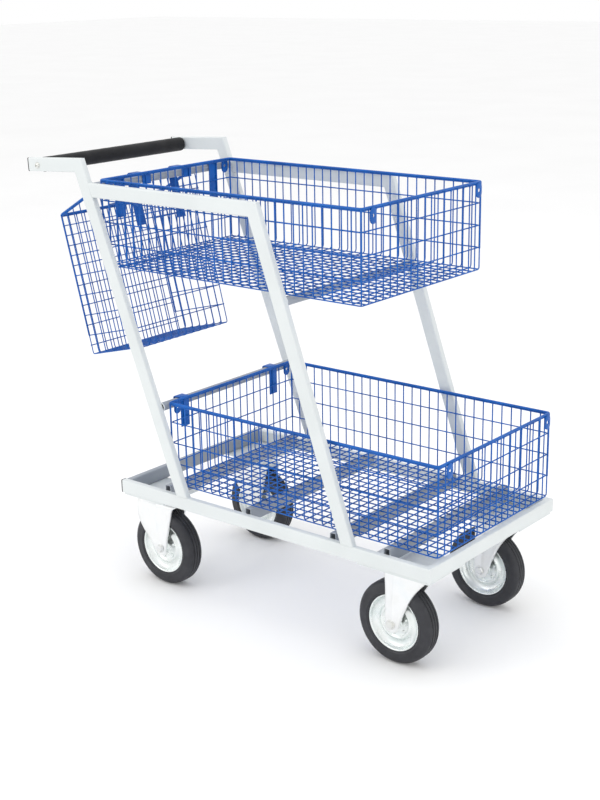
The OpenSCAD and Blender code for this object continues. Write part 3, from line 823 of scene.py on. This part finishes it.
# king bolt bore, and the bearing cups as (radius, height above the crown or the cup's foot)
BORE = 6.4
LOWER_CUP = ((BORE, -2.2), (36.0, -2.2), (37.6, 0.6), (37.2, 3.4), (34.5, 6.6), (31.2, 9.0),
             (28.0, 9.3), (BORE, 9.3))
UPPER_CUP = ((BORE, 0.1), (26.0, 0.1), (28.6, 0.8), (33.0, 4.4), (34.6, 6.4), (34.6, 7.4),
             (BORE, 7.4))
bolts = bmesh.new()
cups = bmesh.new()
for _, word in SIDES:
    axle = wheel_meshes("rear", word)
    swivel = "rear_swivel_" + word
    pivot = joint_at[swivel + "_turn"]
    cup = V(pivot.x, pivot.y, 0)
    f_lo, f_hi = node_box("rear_fork_" + word)
    crown = f_hi.z - CROWN_DROP["rear"]
    bm = bmesh.new()
    fork_shell(bm, axle, REAR_LEG, crown, f_lo.x + 2, f_hi.x - 1, axle.x - 8)
    finish_piece("fork_rear_" + word, bm, ZINC, swivel, ["rear_fork_" + word],
                 sharp=80, thick=SHEET, subsurf=1)
    bm = bmesh.new()
    lathe(bm, [(r, crown + h) for r, h in LOWER_CUP], cup, "Z", 64)
    finish_piece("bearing_cup_" + word, bm, ZINC, swivel)
    axle_mesh("axle_rear_" + word, [axle], swivel, ["rear_axle_" + word])
    lathe(cups, [(r, s_lo.z + h) for r, h in UPPER_CUP], cup, "Z", 64)
    bolted_plate(cups, V((s_lo.x + s_hi.x) / 2, axle.y, s_hi.z), s_hi.x - s_lo.x - 0.6, 103, 4.9,
                 41, 40, 6.6, 4.0)
    lathe(bolts, [(CORE, k_lo.z + 6), (5.95, k_lo.z + 6), (5.95, k_hi.z), (CORE, k_hi.z)],
          cup, "Z", 32, False)
    hex_bolt(bolts, V(cup.x, cup.y, k_lo.z + 7.0), -1, 10.6, 6.4, False, "Z")
finish_piece("swivel_tops", cups, ZINC, "frame", ["swivel_plates"], sharp=35)
finish_piece("king_pins", bolts, BOLT, "frame", ["king_bolts"])


# ---------------------------------------------------------------- wire baskets

# radii of the wires
WIRE = 1.5
REAR_WIRE = 1.35
RIM = 2.8
CORNER_WIRE = 2.3


def basket(name, place, length, width, height, nx, ny, rows, body, stands_for, wire=WIRE,
           stout=(0, 1)):
    """Welded wire basket in its own frame: x along, y across, z up. height is a function of x.
    rows are the heights of the level wires: a list for closed loops, or one for each of side,
    back and front. stout names the ends, 0 rear and 1 front, whose corners have a thick wire
    above the lowest row."""
    bm = bmesh.new()
    r = wire
    half = width / 2
    foot_bend, corner_bend, inner_bend = 8.0, 7.0, 6.0
    corner_reach, lowest_row = 12.0, 51.0

    def put(pts, rad, bend=0.0, closed=False, seg=8):
        path = round_path(pts, bend, 4, closed) if bend else pts
        rod(bm, [place @ p for p in path], rad, seg, closed)

    def ends_up(x, y, h):
        """The thick welded end of a wall wire, between the two wires of the rim."""
        put([V(x, y, h - under - 2.2), V(x, y, h - RIM - 1.0)], r * 1.3)

    h0, h1 = height(0.0), height(length)
    # middle of the lower rim wire, below the top of the rim
    under = 2 * RIM + r * 0.9
    # wires that run up the rear wall, along the floor and up the front wall
    for j in range(1, ny):
        y = -half + r + (width - 2 * r) * j / ny
        put([V(r, y, h0 - under), V(r, y, r), V(length - r, y, r), V(length - r, y, h1 - under)],
            r, foot_bend)
        for x, h in ((r, h0), (length - r, h1)):
            ends_up(x, y, h)
    # wires that run up one side wall, across the floor and up the other
    for i in range(1, nx):
        x = r + (length - 2 * r) * i / nx
        h = height(x)
        put([V(x, half - r, h - under), V(x, half - r, 3 * r), V(x, -half + r, 3 * r),
             V(x, -half + r, h - under)], r, foot_bend)
        for y in (-half + r, half - r):
            ends_up(x, y, h)
    # corner wires: thin ones bent in at the foot, thick ones beside them above the lowest row
    tuck = r + 2.2
    for end, x, h in ((0, tuck, h0), (1, length - tuck, h1)):
        for y in (-half + tuck, half - tuck):
            foot = V(x + (corner_reach if end == 0 else -corner_reach), y, 2 * r)
            put([foot, V(x, y, 2 * r), V(x, y, h - RIM)], r, inner_bend)
            if end in stout:
                put([V(x, y, lowest_row), V(x, y, h - RIM)], CORNER_WIRE)
    # level wires round the walls, on the inside; separate ones end lip short of the corner
    inset, lip = 3 * r, 1.2
    if isinstance(rows, dict):
        for z in rows["side"]:
            for y in (-half + inset, half - inset):
                put([V(lip, y, z), V(length - lip, y, z)], r)
        for key, x in (("back", inset), ("front", length - inset)):
            for z in rows[key]:
                put([V(x, -half + lip, z), V(x, half - lip, z)], r)
    else:
        for z in rows:
            put([V(inset, -half + inset, z), V(length - inset, -half + inset, z),
                 V(length - inset, half - inset, z), V(inset, half - inset, z)],
                r, corner_bend, True)
    # floor edge
    put([V(tuck, -half + tuck, 2 * r), V(length - tuck, -half + tuck, 2 * r),
         V(length - tuck, half - tuck, 2 * r), V(tuck, half - tuck, 2 * r)],
        r, inner_bend, True)
    # rim of two touching wires
    for rad, down in ((RIM, RIM), (r * 1.1, under)):
        put([V(RIM, -half + RIM, h0 - down), V(length - RIM, -half + RIM, h1 - down),
             V(length - RIM, half - RIM, h1 - down), V(RIM, half - RIM, h0 - down)],
            rad, corner_bend, True, 12)
    finish_piece(name, bm, BLUE, body, stands_for, sharp=60)


STRAP_W = 28.0
STRAP = rect_profile(STRAP_W, 2.5, 0.9, 2)
# from the middle of a strap to the bar it lies on, and from the bar's middle down to its tail
LAP, TAIL = 1.35, 12


def strap(bm, pts, y):
    """Flat strap through points (x, z), with its middle at y."""
    path = round_path([V(x, y, z) for x, z in pts], 3.6, 4)
    sweep(bm, path, ALONG_Y, STRAP)


# each ear is two half circles, drawn upright, with a hole in the middle that lies EAR_DOWN
# below the rim
EAR_R, EAR_SHIFT, EAR_HOLE_R, EAR_T, EAR_DOWN = 11, 6, 4.0, 2.0, 20
EAR = [(EAR_R * math.cos(math.pi * k / 12), shift + EAR_R * math.sin(math.pi * k / 12))
       for shift, ks in ((EAR_SHIFT, range(13)), (-EAR_SHIFT, range(12, 25))) for k in ks]
UPRIGHT = Matrix(((0, 0, 1, 0), (1, 0, 0, 0), (0, 1, 0, 0), (0, 0, 0, 1)))
# mesh spaces along and across, and the level rows' heights of the rear basket
WIDE_SPACES = (30, 18)
REAR_SPACES = (7, 12)
REAR_ROWS = {"side": range(50, 301, 50), "back": range(25, 326, 50), "front": range(50, 351, 50)}

for key, bar_name in (("upper", "rear_top_bar"), ("lower", "rear_low_bar")):
    r_lo, r_hi = node_box(key + "_rim")
    w_lo = node_box(key + "_walls")[0]
    body = key + "_basket"
    length, width, height = r_hi.x - r_lo.x, r_hi.y - r_lo.y, r_hi.z - w_lo.z
    place = Matrix.Translation((r_lo.x, 0, w_lo.z))
    basket(key + "_basket_wires", place, length, width, lambda x, h=height: h,
           *WIDE_SPACES, [height - 150, height - 100, height - 50], body,
           [key + "_rim", key + "_walls", key + "_floor"])
    h_lo, h_hi = node_box(key + "_hooks")
    b_lo, b_hi = node_box(bar_name)
    bc = (b_lo + b_hi) / 2
    bar_top, behind = b_hi.z + LAP, b_lo.x - LAP
    out_x = r_lo.x - 1.4
    bm = bmesh.new()
    for y in (h_lo.y + STRAP_W / 2, h_hi.y - STRAP_W / 2):
        strap(bm, [(out_x, h_lo.z), (out_x, bar_top), (behind, bar_top), (behind, bc.z - TAIL)], y)
    finish_piece(key + "_basket_hooks", bm, BLUE, body, [key + "_hooks"])
    t_lo, t_hi = node_box(key + "_tabs")
    # the near front ear stands further in than the other three
    places = [Matrix.Translation((x, y, r_hi.z - EAR_DOWN)) @ UPRIGHT
              for x, near in ((t_lo.x + 1.0, t_lo.y + EAR_R), (t_hi.x - 1.0, t_lo.y + 17.2))
              for y in (near, t_hi.y - EAR_R)]
    plate_with_holes(key + "_basket_ears", EAR, [(0, 0, EAR_HOLE_R)], EAR_T, places, BLUE, body,
                     [key + "_tabs"])

# the rear basket leans back; its walls rise from back_h at the rear to front_h at the front, and
# its rim ends rim_up above them
LEAN = math.radians(14.3)
rw_lo, rw_hi = node_box("rear_walls")
depth, back_h, front_h, rim_up = 184.0, 350.0, 400.0, 5.0
rr_lo, rr_hi = node_box("rear_rim")
corner = V(rw_hi.x, 0, rw_lo.z + depth * math.sin(LEAN))
place = (Matrix.Translation(corner) @ Matrix.Rotation(-LEAN, 4, "Y")
         @ Matrix.Translation((-depth, 0, 0)))
basket("rear_basket_wires", place, depth, rr_hi.y - rr_lo.y,
       lambda x: back_h + (front_h - back_h) * x / depth + rim_up, *REAR_SPACES, REAR_ROWS,
       "rear_basket", ["rear_rim", "rear_walls", "rear_floor"], wire=REAR_WIRE, stout=(0,))
b_lo, b_hi = node_box("rear_top_bar")
bar_top, before = b_hi.z + LAP, b_hi.x + LAP
slope = math.tan(LEAN)
z0, z1 = node_box("rear_hooks")[0].z + 0.5, b_hi.z - 5
x0, x1 = (corner.x - (z - corner.z) * slope + 1.7 for z in (z0, z1))
REAR_STRAP_Y = 70
bm = bmesh.new()
for y in (-REAR_STRAP_Y, REAR_STRAP_Y):
    strap(bm, [(x0, z0), (x1, z1), (x1 + 7, bar_top), (before, bar_top),
               (before, (b_lo.z + b_hi.z) / 2 - TAIL)], y)
finish_piece("rear_basket_hooks", bm, BLUE, "rear_basket", ["rear_hooks"])


# ---------------------------------------------------------------- floor, light and camera

me = bpy.data.meshes.new("floor")
bm = bmesh.new()
bmesh.ops.create_grid(bm, x_segments=2, y_segments=2, size=30)
bm.to_mesh(me)
bm.free()
floor = bpy.data.objects.new("floor", me)
bpy.context.scene.collection.objects.link(floor)
mat, nt, bsdf, co = shader("floor_paper", specular=0.2)
paper = ramp(nt, noise(nt, co, 1.5, 2.0), [(0.3, (0.95, 0.95, 0.95)), (0.7, (0.97, 0.97, 0.97))])
nt.links.new(paper, bsdf.inputs["Base Color"])
bsdf.inputs["Roughness"].default_value = 0.8
me.materials.append(mat)

world = bpy.data.worlds.new("studio")
bpy.context.scene.world = world
world.use_nodes = True
background = world.node_tree.nodes["Background"]
background.inputs["Color"].default_value = (1.0, 1.0, 1.0, 1.0)
background.inputs["Strength"].default_value = 1.0


def area(name, where, aim, size, watts):
    data = bpy.data.lights.new(name, "AREA")
    data.shape = "RECTANGLE"
    data.size, data.size_y = size
    data.energy = watts
    ob = bpy.data.objects.new(name, data)
    bpy.context.scene.collection.objects.link(ob)
    ob.location = where
    ob.rotation_mode = "QUATERNION"
    ob.rotation_quaternion = (Vector(aim) - Vector(where)).to_track_quat("-Z", "Y")


area("key_left", (-2.2, -3.6, 2.6), (0, 0, 0.5), (2.6, 2.2), 34)
area("overhead", (0.2, 0.0, 4.2), (0, 0, 0.3), (3.5, 3.5), 34)
area("front_fill", (3.6, -0.8, 1.6), (0, 0, 0.5), (2.0, 2.0), 12)

# the camera's place in metres, with x from the rear end of the base; place and turn fit the photo
CAMERA_AT = (X0 * MM + 2.3605, -2.4564, 1.4470)
yaw, pitch, roll = math.radians(39.279), math.radians(16.700), math.radians(-1.009)
cam_data = bpy.data.cameras.new("photo_camera")
cam_data.sensor_fit = "AUTO"
cam_data.sensor_width = 36.0
cam_data.lens = 63.73
cam_data.shift_y = -0.0121
cam_data.clip_start, cam_data.clip_end = 0.05, 200
cam = bpy.data.objects.new("photo_camera", cam_data)
bpy.context.scene.collection.objects.link(cam)
ahead = V(-math.sin(yaw) * math.cos(pitch), math.cos(yaw) * math.cos(pitch), -math.sin(pitch))
level = V(math.cos(yaw), math.sin(yaw), 0)
above = level.cross(ahead)
right = level * math.cos(roll) + above * math.sin(roll)
up = above * math.cos(roll) - level * math.sin(roll)
cam.matrix_world = Matrix.Translation(CAMERA_AT) @ Matrix((right, up, -ahead)).transposed().to_4x4()
bpy.context.scene.camera = cam
bpy.context.scene.view_settings.view_transform = "Standard"

bpy.context.view_layer.update()
